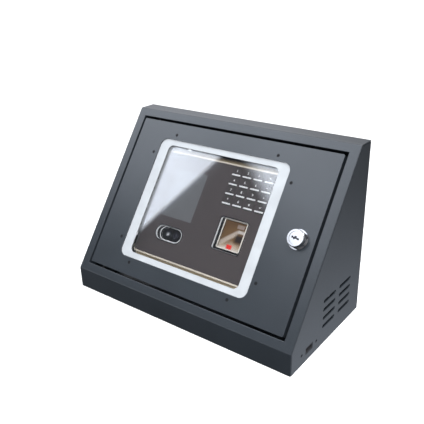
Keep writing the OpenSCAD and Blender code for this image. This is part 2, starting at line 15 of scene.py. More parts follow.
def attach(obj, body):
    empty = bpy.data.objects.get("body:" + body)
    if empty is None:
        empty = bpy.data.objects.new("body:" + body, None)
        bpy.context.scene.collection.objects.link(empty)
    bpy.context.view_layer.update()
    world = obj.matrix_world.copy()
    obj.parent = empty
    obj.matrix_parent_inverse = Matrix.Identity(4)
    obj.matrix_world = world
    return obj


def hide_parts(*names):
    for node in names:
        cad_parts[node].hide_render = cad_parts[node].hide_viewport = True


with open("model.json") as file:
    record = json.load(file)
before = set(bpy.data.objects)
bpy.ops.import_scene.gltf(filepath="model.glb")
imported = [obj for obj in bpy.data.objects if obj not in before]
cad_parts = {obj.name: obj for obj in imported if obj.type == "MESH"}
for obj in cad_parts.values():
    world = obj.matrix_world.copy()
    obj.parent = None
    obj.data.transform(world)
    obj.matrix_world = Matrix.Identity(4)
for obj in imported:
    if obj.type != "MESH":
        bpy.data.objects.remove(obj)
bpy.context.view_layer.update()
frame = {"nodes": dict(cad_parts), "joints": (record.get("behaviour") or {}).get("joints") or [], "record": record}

nodes = frame["nodes"]
MM = 0.001

# %% [markdown]
# Nearly everything lies on the sloped door, so it is easier to think in the slope's own directions:
# u to the right, v up the slope and n out of the door. The lock turns about n, and the door's hinge
# runs down the slope, so the record of the joints already holds both directions.

# %% The slope's own directions
joints = {j["name"]: j for j in frame["joints"]}
U = Vector((1, 0, 0))
N = Vector(joints["lock_turn"]["axis"]).normalized()
V = -Vector(joints["door_hinge"]["axis"]).normalized()
lock_centre = Vector(joints["lock_turn"]["pos_m"])
door_middle = Vector((0, lock_centre.y, lock_centre.z))
to_slope = Matrix((U, V, N)) @ Matrix.Identity(3)
slope_matrix = Matrix.Translation(door_middle) @ to_slope.transposed().to_4x4()
SLOPE_ANGLE = math.atan2(V.z, V.y)
print("slope in degrees:", round(math.degrees(SLOPE_ANGLE), 2))


# %% Boxes measured along the slope
def slope_box(name):
    """Lowest and highest u, v, n of a CAD node, measured from the middle of the door's face."""
    points = [to_slope @ (v.co - door_middle) for v in nodes[name].data.vertices]
    low = Vector(min(p[i] for p in points) for i in range(3))
    high = Vector(max(p[i] for p in points) for i in range(3))
    return low, high


def middle_of(box):
    return (box[0] + box[1]) / 2


face_box = slope_box("face_panel")
face_middle = middle_of(face_box)
face_n = face_box[1].z
print("terminal face below the door face, mm:", round(-face_n / MM, 1))

# %% [markdown]
# The camera comes early, so that every later choice can be judged in the same view. It stands to
# the right of the case and looks down on it, with a lens close to 50 mm. The camera is turned by a
# degree and a half about its own axis, as a hand-held one is.

# %% Camera
CAM_AZIMUTH, CAM_ELEVATION, CAM_ROLL = 37.96, 23.68, -1.5
CAM_DISTANCE = 0.6542
CAM_LENS = 49.3
CAM_TARGET = Vector((0.0012, -0.0002, 0.1106))


def camera_at(azimuth, elevation, roll, distance, target):
    a, e, r = (math.radians(x) for x in (azimuth, elevation, roll))
    back = Vector((math.sin(a) * math.cos(e), -math.cos(a) * math.cos(e), math.sin(e)))
    right = (-back).cross(Vector((0, 0, 1))).normalized()
    up = right.cross(-back)
    x_axis = right * math.cos(r) + up * math.sin(r)
    y_axis = -right * math.sin(r) + up * math.cos(r)
    turn = Matrix((x_axis, y_axis, back)).transposed()
    return Matrix.Translation(target + back * distance) @ turn.to_4x4()


cam_data = bpy.data.cameras.new("view")
cam_data.lens = CAM_LENS
cam_data.clip_start = 0.01
camera = bpy.data.objects.new("view", cam_data)
bpy.context.scene.collection.objects.link(camera)
camera.matrix_world = camera_at(CAM_AZIMUTH, CAM_ELEVATION, CAM_ROLL, CAM_DISTANCE, CAM_TARGET)
bpy.context.scene.camera = camera
print("camera stands at, mm:", [round(x / MM) for x in camera.location])

# %% [markdown]
# A material in Blender is a small graph of nodes. Most finishes here need the same few nodes, so
# short helpers make a material with a Principled shader, add a node with its links, do a sum on the
# way, mix two colours and read a colour ramp.

# %% Helpers for materials
def new_material(name):
    m = bpy.data.materials.new(name)
    m.use_nodes = True
    tree = m.node_tree
    return m, tree, tree.nodes["Principled BSDF"]


def add_node(tree, kind, links=(), **settings):
    """Adds a node; settings set its inputs by name with _ for a space, or its own properties."""
    n = tree.nodes.new(kind)
    for key, value in settings.items():
        if hasattr(n, key):
            setattr(n, key, value)
        else:
            n.inputs[key.replace("_", " ")].default_value = value
    for source, target in links:
        tree.links.new(source, n.inputs[target])
    return n


def feed(tree, value, socket):
    """Links an output to a socket, or sets the socket to a plain value."""
    if isinstance(value, bpy.types.NodeSocket):
        tree.links.new(value, socket)
    else:
        socket.default_value = value


def sum_node(tree, operation, *values):
    """A Math node; its values are outputs or numbers."""
    n = add_node(tree, "ShaderNodeMath", operation=operation)
    for value, socket in zip(values, n.inputs):
        feed(tree, value, socket)
    return n.outputs[0]


def mix_colours(tree, share, under, over, blend="MIX"):
    """Lays one colour over another by share; each is an output or a plain value."""
    n = add_node(tree, "ShaderNodeMix", data_type="RGBA", blend_type=blend)
    feed(tree, share, n.inputs[0])
    for value, socket in zip((under, over), [i for i in n.inputs if i.type == "RGBA"]):
        feed(tree, value, socket)
    return [o for o in n.outputs if o.type == "RGBA"][0]


def ramp(tree, source, stops):
    """A colour ramp fed by source; stops are (place, grey or colour)."""
    n = add_node(tree, "ShaderNodeValToRGB", [(source, "Fac")])
    while len(n.color_ramp.elements) < len(stops):
        n.color_ramp.elements.new(0.5)
    for element, (place, colour) in zip(n.color_ramp.elements, stops):
        element.position = place
        element.color = (*colour, 1) if isinstance(colour, tuple) else (colour, colour, colour, 1)
    return n


def object_noise(tree, size_mm, detail):
    """Noise in the object's own space, whose blobs are about size_mm across."""
    where = add_node(tree, "ShaderNodeTexCoord")
    return add_node(tree, "ShaderNodeTexNoise", [(where.outputs["Object"], "Vector")],
                    Scale=1 / (size_mm * MM), Detail=detail)


def bump(tree, shader, height, distance_mm, strength):
    n = add_node(tree, "ShaderNodeBump", [(height, "Height")], Distance=distance_mm * MM, Strength=strength)
    tree.links.new(n.outputs["Normal"], shader.inputs["Normal"])

# %% [markdown]
# The case is powder-coated sheet steel. Powder melts into a skin with fine grain, about half a
# millimetre across, over a broader unevenness like orange peel. The colour hardly varies, the
# roughness varies a little more. Both come from noise in the object's own space.

# %% Powder coat
def powder_coat(name, colour, rough):
    m, tree, shader = new_material(name)
    cloud = object_noise(tree, 60, 2.0)
    dark = tuple(c * 0.9 for c in colour)
    light = tuple(c * 1.1 for c in colour)
    tint = ramp(tree, cloud.outputs["Fac"], [(0.3, dark), (0.7, light)])
    tree.links.new(tint.outputs["Color"], shader.inputs["Base Color"])
    grain = object_noise(tree, 0.7, 2.0)
    gloss = ramp(tree, grain.outputs["Fac"], [(0.3, rough - 0.06), (0.7, rough + 0.06)])
    tree.links.new(gloss.outputs["Color"], shader.inputs["Roughness"])
    bump(tree, shader, grain.outputs["Fac"], 0.12, 0.35)
    shader.inputs["Specular IOR Level"].default_value = 0.8
    shader.inputs["Coat Weight"].default_value = 0.6
    shader.inputs["Coat Roughness"].default_value = 0.25
    return m


case_paint = powder_coat("case_powder_coat", (0.016, 0.020, 0.025), 0.34)
print("powder coat ready")

# %% [markdown]
# Plastics differ mostly in how rough they are. One function makes them all, with a faint mottle in
# colour and roughness so that no surface is perfectly even.

# %% Plastics and rubber
def plastic(name, colour, rough, grain_mm=0.5, depth_mm=0.02, coat=0.0):
    m, tree, shader = new_material(name)
    mottle = object_noise(tree, grain_mm * 30, 2.0)
    tint = ramp(tree, mottle.outputs["Fac"],
                [(0.3, tuple(c * 0.93 for c in colour)), (0.7, tuple(c * 1.05 for c in colour))])
    tree.links.new(tint.outputs["Color"], shader.inputs["Base Color"])
    fine = object_noise(tree, grain_mm, 2.0)
    gloss = ramp(tree, fine.outputs["Fac"], [(0.25, max(rough - 0.04, 0.02)), (0.75, rough + 0.04)])
    tree.links.new(gloss.outputs["Color"], shader.inputs["Roughness"])
    bump(tree, shader, fine.outputs["Fac"], depth_mm, 0.3)
    shader.inputs["Coat Weight"].default_value = coat
    shader.inputs["Coat Roughness"].default_value = 0.03
    return m


white_plastic = plastic("white_frame_plastic", (0.33, 0.35, 0.372), 0.38)
shell_plastic = plastic("shell_plastic", (0.030, 0.027, 0.025), 0.28, 0.4, 0.02)
bezel_plastic = plastic("bezel_black_plastic", (0.007, 0.007, 0.008), 0.5, 0.6, 0.01)
rubber = plastic("bush_rubber", (0.02, 0.02, 0.02), 0.7, 0.5, 0.05)
port_plastic = plastic("port_plastic", (0.02, 0.02, 0.022), 0.45)
dome_rubber = plastic("dome_rubber", (0.5, 0.47, 0.4), 0.6)
solder_mask = plastic("circuit_board_green", (0.02, 0.13, 0.06), 0.3, 1.5, 0.03)
print("plastics ready")

# %% [markdown]
# Bare metal is a metallic shader over soft clouds, which shift its colour and its roughness a little:
# broad clouds on zinc plate, fine ones on screws and on the lock's chrome. Blackened steel and the
# painted trim no longer look like bare metal, so they are made as plastics are.

# %% Metals
def metal(name, colour, rough, cloud_mm=6.0):
    m, tree, shader = new_material(name)
    cloud = object_noise(tree, cloud_mm, 4.0)
    tint = ramp(tree, cloud.outputs["Fac"],
                [(0.3, tuple(c * 0.9 for c in colour)), (0.7, tuple(min(c * 1.06, 1) for c in colour))])
    tree.links.new(tint.outputs["Color"], shader.inputs["Base Color"])
    gloss = ramp(tree, cloud.outputs["Fac"], [(0.3, rough * 0.8), (0.7, rough * 1.25)])
    tree.links.new(gloss.outputs["Color"], shader.inputs["Roughness"])
    shader.inputs["Metallic"].default_value = 1.0
    return m


zinc = metal("zinc_plate", (0.40, 0.42, 0.45), 0.38, 9.0)
steel = metal("fastener_steel", (0.62, 0.62, 0.64), 0.28, 1.5)
dark_steel = plastic("black_oxide", (0.006, 0.006, 0.007), 0.5, 0.4, 0.02)
chrome = metal("lock_chrome", (0.66, 0.66, 0.68), 0.12, 3.0)
cream_line = plastic("cream_trim", (0.90, 0.80, 0.66), 0.25, 2.0, 0.004, 0.5)
bronze = plastic("bronze_trim", (0.48, 0.38, 0.24), 0.22, 2.0, 0.004, 0.5)
speaker_metal = metal("speaker_metal", (0.25, 0.25, 0.26), 0.4)
print("metals ready")

# %% [markdown]
# The pane is clear acrylic. Real refraction would need many samples and would darken what lies
# behind it, so the pane mixes a see-through shader with a mirror one. Fresnel decides how much of
# each: almost clear straight on, and more of a mirror at a low angle.

# %% Clear pane
PANE_MIRROR = 0.095      # what the pane mirrors straight on, over what plain Fresnel gives


def clear_sheet(name, tint):
    m, tree, shader = new_material(name)
    tree.nodes.remove(shader)
    out = tree.nodes["Material Output"]
    clear = add_node(tree, "ShaderNodeBsdfTransparent")
    clear.inputs["Color"].default_value = (*tint, 1)
    mirror = add_node(tree, "ShaderNodeBsdfGlossy", Roughness=0.02)
    mirror.inputs["Color"].default_value = (1, 1, 1, 1)
    facing = add_node(tree, "ShaderNodeFresnel", IOR=1.5)
    share = sum_node(tree, "ADD", facing.outputs["Fac"], PANE_MIRROR)
    mix = add_node(tree, "ShaderNodeMixShader", [(share, 0)])
    tree.links.new(clear.outputs[0], mix.inputs[1])
    tree.links.new(mirror.outputs[0], mix.inputs[2])
    tree.links.new(mix.outputs[0], out.inputs["Surface"])
    return m


pane_acrylic = clear_sheet("pane_acrylic", (0.95, 0.96, 0.97))
print("pane ready")

# %% [markdown]
# The terminal's face is one glossy sheet, printed black from behind, with a clear area over the
# display. The print is a mask in the slope's directions: a Mapping node turns the object's space so
# that X and Y run along u and v, and comparing those with the display's edges gives the mask.

# %% Masks along the slope
def slope_coordinates(tree):
    """Separate X and Y outputs hold u and v in metres, from the middle of the door's face."""
    where = add_node(tree, "ShaderNodeTexCoord")
    shift = add_node(tree, "ShaderNodeVectorMath", [(where.outputs["Object"], 0)], operation="SUBTRACT")
    shift.inputs[1].default_value = door_middle
    turn = add_node(tree, "ShaderNodeVectorRotate", [(shift.outputs[0], "Vector")], rotation_type="X_AXIS")
    turn.inputs["Angle"].default_value = -SLOPE_ANGLE
    return add_node(tree, "ShaderNodeSeparateXYZ", [(turn.outputs[0], 0)])


def inside(tree, value, middle, half, soft):
    """1 where value is within half of middle, falling to 0 over soft."""
    away = sum_node(tree, "ABSOLUTE", sum_node(tree, "SUBTRACT", value, middle))
    edge = add_node(tree, "ShaderNodeMapRange", [(away, 0)], From_Min=half - soft, From_Max=half,
                    To_Min=1.0, To_Max=0.0)
    return edge.outputs[0]


def both(tree, a, b):
    return sum_node(tree, "MULTIPLY", a, b)

# %% Glossy face with the display behind it
DISPLAY_SIZE = (45.4 * MM, 59.8 * MM)
DISPLAY_SOFT = 0.3 * MM
FACE_BLACK = (0.092, 0.078, 0.078, 1)
DISPLAY_GREY = (0.165, 0.165, 0.172, 1)
display_middle = middle_of(slope_box("lcd_module"))

m_face, tree, shader = new_material("face_gloss")
uv = slope_coordinates(tree)
on_display = both(tree,
                  inside(tree, uv.outputs[0], display_middle.x, DISPLAY_SIZE[0] / 2, DISPLAY_SOFT),
                  inside(tree, uv.outputs[1], display_middle.y, DISPLAY_SIZE[1] / 2, DISPLAY_SOFT))
print_colour = mix_colours(tree, on_display, FACE_BLACK, DISPLAY_GREY)
tree.links.new(print_colour, shader.inputs["Base Color"])
smear = object_noise(tree, 14, 4.0)
gloss = ramp(tree, smear.outputs["Fac"], [(0.35, 0.04), (0.75, 0.12)])
tree.links.new(gloss.outputs["Color"], shader.inputs["Roughness"])
shader.inputs["Coat Weight"].default_value = 0.2
shader.inputs["Coat Roughness"].default_value = 0.03
print("face printed, display middle in mm:", [round(x / MM, 1) for x in display_middle])

# %% [markdown]
# The sensor's prism is amber glass, and the red lamp under it glows through near its lower edge.
# Thick glass shows parts of what lies under it at odd angles: a pale streak and a shelf. A near-black
# patch is painted shadow, shade laid into the glass's colour. Each is a soft-edged patch in the slope's
# directions that is mixed over the amber.

# %% Amber glass
prism_low, prism_high = slope_box("sensor_prism")
prism_middle = (prism_low + prism_high) / 2
lamp_middle = middle_of(slope_box("sensor_lamp"))

m_prism, tree, shader = new_material("amber_prism")
uv = slope_coordinates(tree)
climb = add_node(tree, "ShaderNodeMapRange", [(uv.outputs[1], 0)],
                 From_Min=prism_low.y, From_Max=prism_high.y)
DRIFT = 0.5             # how far the noise moves the amber's steps
drift = object_noise(tree, 16, 3.0)
wave = sum_node(tree, "MULTIPLY_ADD", drift.outputs["Fac"], DRIFT, climb.outputs[0])
amber = ramp(tree, wave, [(0.28, (0.92, 0.84, 0.75)), (0.46, (0.52, 0.40, 0.29)),
                          (0.66, (0.22, 0.125, 0.06)), (1.0, (0.16, 0.088, 0.04))])


# %% Patches on the glass
def patch(middle, right, up, half_width, half_height, soft):
    """A soft-edged rectangle on the glass; all but its middle are in mm."""
    return both(tree, inside(tree, uv.outputs[0], middle.x + right * MM, half_width * MM, soft * MM),
                inside(tree, uv.outputs[1], middle.y + up * MM, half_height * MM, soft * MM))


# right of and above the glass's middle, half width, half height and softness, all in mm
SHELF = (7.2, 7.7, 5, 2.4, 1.4)
# painted shadow: a near-black patch that stands in for shade in the glass
PAINTED_SHADOW = (6.8, -0.6, 7.2, 6.6, 4)
DULL = (4.6, 13.4, 5.2, 2.8, 1.2)
STREAK_REACH = (-7, -1, 12, 12, 3)
SPOT = (0.8, 6.5, 4.2, 3.3, 1.4)         # the same, from the lamp's middle and the glass's lower edge
# the streak climbs to the right: its slope, how high it starts, half width and softness
STREAK_SLOPE, STREAK_RISE, STREAK_HALF, STREAK_SOFT = 0.85, 4.0 * MM, 4.8 * MM, 2.8 * MM

lean = sum_node(tree, "MULTIPLY_ADD", uv.outputs[0], -STREAK_SLOPE, uv.outputs[1])
streak_at = prism_middle.y - STREAK_SLOPE * prism_middle.x + STREAK_RISE
streak = both(tree, inside(tree, lean, streak_at, STREAK_HALF, STREAK_SOFT),
              patch(prism_middle, *STREAK_REACH))
spot = patch(Vector((lamp_middle.x, prism_low.y, 0)), *SPOT)
glass = amber.outputs["Color"]
# each layer's mask, its most and its colour
for share, most, colour in ((patch(prism_middle, *DULL), 0.7, (0.44, 0.36, 0.32, 1)),
                            (streak, 0.75, (0.66, 0.57, 0.48, 1)),
                            (patch(prism_middle, *SHELF), 0.8, (0.72, 0.66, 0.62, 1)),
                            # the painted shadow, near black
                            (patch(prism_middle, *PAINTED_SHADOW), 0.95, (0.02, 0.016, 0.016, 1)),
                            (spot, 1.0, (0.75, 0.03, 0.025, 1))):
    glass = mix_colours(tree, sum_node(tree, "MULTIPLY", share, most), glass, colour)
tree.links.new(glass, shader.inputs["Base Color"])
SPOT_GLOW = 0.25
tree.links.new(sum_node(tree, "MULTIPLY", spot, SPOT_GLOW), shader.inputs["Emission Strength"])
shader.inputs["Emission Color"].default_value = (0.9, 0.05, 0.03, 1)
shader.inputs["Roughness"].default_value = 0.08
shader.inputs["Coat Weight"].default_value = 0.3
print("prism ready")

# %% Red lamp
m_lamp, tree, shader = new_material("lamp_red")
core = object_noise(tree, 2, 2.0)
red = ramp(tree, core.outputs["Fac"], [(0.3, (0.7, 0.03, 0.02)), (0.7, (0.95, 0.12, 0.08))])
tree.links.new(red.outputs["Color"], shader.inputs["Base Color"])
tree.links.new(red.outputs["Color"], shader.inputs["Emission Color"])
shader.inputs["Emission Strength"].default_value = 1.0
print("lamp ready")

# %% [markdown]
# Each CAD node now gets its finish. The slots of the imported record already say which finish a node
# has, so a table from slot to material is enough.

# %% Give every CAD node its finish
lens_glass = plastic("lens_glass", (0.02, 0.02, 0.03), 0.2, 2.0, 0.002, 1.0)
display_glass = plastic("display_glass", (0.06, 0.07, 0.08), 0.15, 2.0, 0.002, 0.5)
key_gloss = plastic("key_gloss", (0.080, 0.070, 0.070), 0.12, 1.0, 0.004, 0.3)
finish_of = {
    "case_paint": case_paint, "zinc_plate": zinc, "fastener_steel": steel, "dark_screws": dark_steel,
    "soft_rubber": rubber, "port_plastic": port_plastic, "white_frame": white_plastic,
    "clear_pane": pane_acrylic, "lock_chrome": chrome, "shell_plastic": shell_plastic,
    "face_gloss": m_face, "trim_line": cream_line, "display": display_glass,
    "bezel_plastic": bezel_plastic, "lens": lens_glass, "circuit_board": solder_mask,
    "prism": m_prism, "lamp": m_lamp, "dome_rubber": dome_rubber, "speaker_metal": speaker_metal,
    "key_plastic": key_gloss,
}
slot_of = {s["node"]: s["material_slot"] for s in frame["record"]["subparts"]}
for name, obj in nodes.items():
    obj.data.materials.clear()
    obj.data.materials.append(finish_of[slot_of[name]])
nodes["hinge_pins"].data.materials[0] = dark_steel      # painted shade: made black so they stay as dark as the shaded door gap
print("finishes given to", len(nodes), "nodes")

# %% [markdown]
# Folded sheet never has knife edges. The Bevel modifier rounds every edge sharper than an angle
# without touching the mesh itself. The imported mesh has doubled points along its edges, so a Weld
# modifier joins them first; otherwise the bevel would see loose faces.

# %% Round the edges of what shows
BEVEL_SEGMENTS = 3
SHARP_ANGLE = math.radians(35)


def soften(name, radius_mm):
    obj = nodes[name]
    weld = obj.modifiers.new("join_points", "WELD")
    weld.merge_threshold = 1e-6
    bevel = obj.modifiers.new("round_edges", "BEVEL")
    bevel.width = radius_mm * MM
    bevel.segments = BEVEL_SEGMENTS
    bevel.limit_method = "ANGLE"
    bevel.angle_limit = SHARP_ANGLE
    flat = obj.modifiers.new("keep_flats_flat", "WEIGHTED_NORMAL")
    flat.mode = "FACE_AREA"
    flat.weight = 100


for name, radius_mm in {"front_wrap": 0.6, "door_panel": 0.7, "window_frame": 0.3, "face_panel": 0.2,
                        "side_panel_right": 0.25, "side_panel_left": 0.25, "rear_cover": 0.3,
                        "front_shell": 0.5, "rear_shell": 0.5}.items():
    soften(name, radius_mm)
print("edges rounded")

# %% [markdown]
# Each recess in the face has a pale sloping rim on its wall, a black ledge a few millimetres down
# and a thin pale line along the ledge's opening. Rim and ledge are closed rings joined from outlines,
# and the line is a bead that follows the opening. All of it is real geometry, so it casts its own
# thin shadow and shifts against the face as the eye moves.

# %% Helpers for outlines
def place_on_slope(mesh, u, v, n):
    mesh.transform(slope_matrix @ Matrix.Translation((u, v, n)))


def add_piece(name, mesh, materials, body):
    obj = bpy.data.objects.new(name, mesh)
    bpy.context.scene.collection.objects.link(obj)
    for m in materials:
        mesh.materials.append(m)
    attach(obj, body)
    return obj


def finished_mesh(name, bm):
    """Turns all faces outwards and makes a mesh of what was built."""
    bmesh.ops.recalc_face_normals(bm, faces=bm.faces)
    mesh = bpy.data.meshes.new(name)
    bm.to_mesh(mesh)
    bm.free()
    return mesh


def rounded_outline(width, height, radius, steps=8):
    """Points of a rounded rectangle about the origin, anticlockwise."""
    points = []
    for cx, cy, start in ((1, 1, 0), (-1, 1, 90), (-1, -1, 180), (1, -1, 270)):
        for i in range(steps + 1):
            a = math.radians(start + 90 * i / steps)
            points.append((cx * (width / 2 - radius) + radius * math.cos(a),
                           cy * (height / 2 - radius) + radius * math.sin(a)))
    return points


LINE_SIDES = 8
LINE_FLATNESS = 0.5       # the bead's height over its width


def line_mesh(name, points, thickness):
    """A closed bead along points in the u, v plane."""
    bm = bmesh.new()
    count = len(points)
    rings = []
    for i, (x, y) in enumerate(points):
        (x0, y0), (x1, y1) = points[i - 1], points[(i + 1) % count]
        along = Vector((x1 - x0, y1 - y0, 0)).normalized()
        across = Vector((along.y, -along.x, 0))
        ring = []
        for k in range(LINE_SIDES):
            a = 2 * math.pi * k / LINE_SIDES
            offset = across * math.cos(a) + Vector((0, 0, LINE_FLATNESS * math.sin(a)))
            ring.append(bm.verts.new(Vector((x, y, 0)) + offset * thickness / 2))
        rings.append(ring)
    for i in range(count):
        a, b = rings[i], rings[(i + 1) % count]
        for k in range(LINE_SIDES):
            bm.faces.new((a[k], a[(k + 1) % LINE_SIDES], b[(k + 1) % LINE_SIDES], b[k]))
    for f in bm.faces:
        f.smooth = True
    return finished_mesh(name, bm)

# %% Lines round the recesses
line_white = plastic("line_white", (0.95, 0.95, 0.96), 0.3, 1.0, 0.003)
line_cream = plastic("line_cream", (0.96, 0.89, 0.80), 0.28, 1.0, 0.003)
LEDGE_DROP = 4.0 * MM       # from the face down to the ledge
LEDGE_THICK = 0.8 * MM
RIM_BAND = 2.2 * MM         # how far the pale rim reaches down the recess's wall
BEZEL_WALL = 1.0            # mm, as are the next three
RIM_SINK, LEDGE_SINK = 0.05, 0.1      # how far rim and ledge reach into the wall
RIM_WIDTH = 0.45
ROUND_ENDS = 99             # mm, a radius over any half height gives half circles


def inset_outline(node, left, right, bottom, top, radius):
    """A rounded outline inside a node's box, with its own inset in mm on each side."""
    low, high = slope_box(node)
    width = high.x - low.x - (left + right) * MM
    height = high.y - low.y - (bottom + top) * MM
    shift_x, shift_y = (left - right) / 2 * MM, (bottom - top) / 2 * MM
    points = rounded_outline(width, height, min(radius * MM, height / 2 - 1e-6))
    middle = (low + high) / 2
    return [(middle.x + shift_x + x, middle.y + shift_y + y) for x, y in points]


def ring_mesh(name, loops):
    """A closed ring joined from outlines of equal length, given as (points, n)."""
    bm = bmesh.new()
    rings = [[bm.verts.new((x, y, n)) for x, y in points] for points, n in loops]
    for a, b in zip(rings, rings[1:] + rings[:1]):
        for i in range(len(a)):
            j = (i + 1) % len(a)
            bm.faces.new((a[i], a[j], b[j], b[i]))
    return finished_mesh(name, bm)


def dress_recess(name, node, ledge, radius, line_material, line_width):
    """A pale sloping rim on the wall, a black ledge below it and a pale line along the ledge's opening."""
    outer = inset_outline(node, *[BEZEL_WALL - RIM_SINK] * 4, radius)
    inner = inset_outline(node, *[BEZEL_WALL + RIM_WIDTH] * 4, radius)
    rim = ring_mesh(name + "_rim", [(outer, face_n), (inner, face_n - RIM_BAND), (outer, face_n - RIM_BAND)])
    place_on_slope(rim, 0, 0, 0)
    add_piece(name + "_rim", rim, [line_white], "case")
    opening = inset_outline(node, *ledge, radius)
    edge = inset_outline(node, *[BEZEL_WALL - LEDGE_SINK] * 4, radius)
    top = face_n - LEDGE_DROP
    shelf = ring_mesh(name + "_ledge", [(edge, top), (opening, top), (opening, top - LEDGE_THICK),
                                        (edge, top - LEDGE_THICK)])
    place_on_slope(shelf, 0, 0, 0)
    add_piece(name + "_ledge", shelf, [bezel_plastic], "case")
    line = line_mesh(name + "_ledge_line", opening, line_width * MM)
    place_on_slope(line, 0, 0, top)
    add_piece(name + "_ledge_line", line, [line_material], "case")


# the ledge's insets in mm are those on the left, right, low and high side
dress_recess("camera", "camera_bezel", (4.7, 4.1, 2.0, 1.3), ROUND_ENDS, line_white, 1.1)
dress_recess("sensor", "finger_bezel", (4.6, 4.2, 4.5, 1.4), 1.2, line_cream, 1.4)
print("recess lines laid")

# %% [markdown]
# A key is a low glossy cap with a white bar along its lower edge and a legend above the bar. All 16
# share one function. The cap is lofted through a few outlines, so its rim is rounded; the legend is
# text or a small sign, made into a mesh and laid on the cap.

# %% Sizes of a key
key_white = plastic("key_white", (0.93, 0.93, 0.92), 0.32, 1.0, 0.003)
CAP_SIZE, CAP_RADIUS = (12.8 * MM, 9.8 * MM), 1.5 * MM
CAP_SKIRT = 1.8 * MM      # from the cap's top down to its lower rim
CAP_SUNK = 0.4 * MM       # the cap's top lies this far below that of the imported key
BAR = (11.3 * MM, 1.7 * MM, 0.5 * MM)       # width, height and thickness
BAR_SUNK, BAR_RIM = 0.1 * MM, 0.18 * MM
BAR_DROP = 3.0 * MM       # from the cap's middle down to the bar
LEGEND_RISE = 1.7 * MM    # from the cap's middle up to the legend
LEGEND_SIZE = 3.9 * MM
LEGEND_THICK, LEGEND_SUNK = 0.03 * MM, 0.02 * MM
LEGEND_BOLD = 0.05 * MM   # how much each stroke is widened
RIM = 0.25 * MM


# %% Blocks with rounded rims
def loft(bm, levels, material=0):
    """Joins outlines of equal length, given as (points, height), and closes both ends."""
    rings = [[bm.verts.new((x, y, z)) for x, y in points] for points, z in levels]
    made = []
    for low, high in zip(rings, rings[1:]):
        for i in range(len(low)):
            j = (i + 1) % len(low)
            made.append(bm.faces.new((low[i], low[j], high[j], high[i])))
    made.append(bm.faces.new(rings[0][::-1]))
    made.append(bm.faces.new(rings[-1]))
    for f in made:
        f.material_index = material
    return made


def rounded_block(bm, width, height, radius, bottom, top, rim, material=0, shift=(0, 0)):
    def outline(shrink):
        points = rounded_outline(width - 2 * shrink, height - 2 * shrink, max(radius - shrink, rim * 0.5), 5)
        return [(x + shift[0], y + shift[1]) for x, y in points]
    levels = [(outline(0), bottom), (outline(0), top - rim), (outline(rim * 0.3), top - rim * 0.3),
              (outline(rim), top)]
    return loft(bm, levels, material)


# %% Characters and signs
def glyph_faces(bm, text, up, material):
    """Adds a thin raised character, centred at height up on the cap."""
    data = bpy.data.curves.new("glyph", "FONT")
    data.body = text
    data.size = LEGEND_SIZE
    data.align_x, data.align_y = "CENTER", "CENTER"
    data.extrude = LEGEND_THICK
    data.offset = LEGEND_BOLD
    temp = bpy.data.objects.new("glyph", data)
    mesh = bpy.data.meshes.new_from_object(temp)
    mesh.transform(Matrix.Translation((0, up, 0)))
    start = len(bm.faces)
    bm.from_mesh(mesh)
    bm.faces.ensure_lookup_table()
    for f in bm.faces[start:]:
        f.material_index = material
    bpy.data.meshes.remove(mesh)
    bpy.data.objects.remove(temp)
    bpy.data.curves.remove(data)


# outlines of the signs, in mm
SIGNS = {
    "up": [(-1, -0.6), (1, -0.6), (0, 0.9)],
    "down": [(-1, 0.6), (0, -0.9), (1, 0.6)],
    "back": [(-1.2, 0), (0.2, -1), (0.2, -0.35), (1.2, -0.35), (1.2, 0.35), (0.2, 0.35), (0.2, 1)],
    "enter": [(-1.2, 0.1), (-0.7, 0.5), (-0.3, 0), (0.9, 1.1), (1.3, 0.65), (-0.3, -0.9)],
}
LEGENDS = {"star": "*", "hash": "#"}
print("signs drawn:", list(SIGNS))


# %% All the keys
def key_mesh(name):
    bm = bmesh.new()
    rounded_block(bm, *CAP_SIZE, CAP_RADIUS, -CAP_SKIRT, 0, RIM)
    width, height, thick = BAR
    rounded_block(bm, width, height, height * 0.3, -BAR_SUNK, thick - BAR_SUNK, BAR_RIM, 1, (0, -BAR_DROP))
    sign = name.removeprefix("key_")
    if sign in SIGNS:
        points = [(x * MM, y * MM + LEGEND_RISE) for x, y in SIGNS[sign]]
        loft(bm, [(points, -LEGEND_SUNK), (points, LEGEND_THICK)], 1)
    else:
        glyph_faces(bm, LEGENDS.get(sign, sign), LEGEND_RISE, 1)
    return finished_mesh(name + "_cap", bm)


key_names = sorted(n for n in nodes if slot_of[n] == "key_plastic")
for name in key_names:
    low, high = slope_box(name)
    mesh = key_mesh(name)
    place_on_slope(mesh, (low.x + high.x) / 2, (low.y + high.y) / 2, high.z - CAP_SUNK)
    cap = add_piece(name + "_cap", mesh, [key_gloss, key_white], name)
    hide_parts(name)
print("keys made:", len(key_names))

# %% [markdown]
# The main lens looks out of a wide black hood that steps down to it like the rings of a target. A
# lathe would turn it; here one list of radii and heights is lofted, out and up, then in and down. Two
# small flat rings on the lens, a grey and a pale one, are a painted highlight: the glint of its coating,
# painted on as pale rings.

# %% Lens hood
HOOD_STEPS = [(8.2, 0), (8.2, 1.3), (7.7, 1.6), (7.0, 1.6), (6.6, 1.0), (5.9, 1.0), (5.6, 0.5), (4.6, 0.5),
              (4.3, 0.2), (4.3, 0)]      # radius and height above the recess's floor, mm
lens_low, lens_high = slope_box("camera_lenses")
lens_radius = (lens_high.y - lens_low.y) / 2
lens_centre = (lens_low.x + lens_radius, lens_low.y + lens_radius)
floor_n = slope_box("camera_bezel")[0].z + BEZEL_WALL * MM
TURN_STEPS = 40


def ring_points(radius):
    angles = [2 * math.pi * i / TURN_STEPS for i in range(TURN_STEPS)]
    return [(radius * math.cos(a), radius * math.sin(a)) for a in angles]


def turned(name, steps):
    """A closed ring turned from a list of radius and height, in mm."""
    return ring_mesh(name, [(ring_points(radius * MM), height * MM) for radius, height in steps])


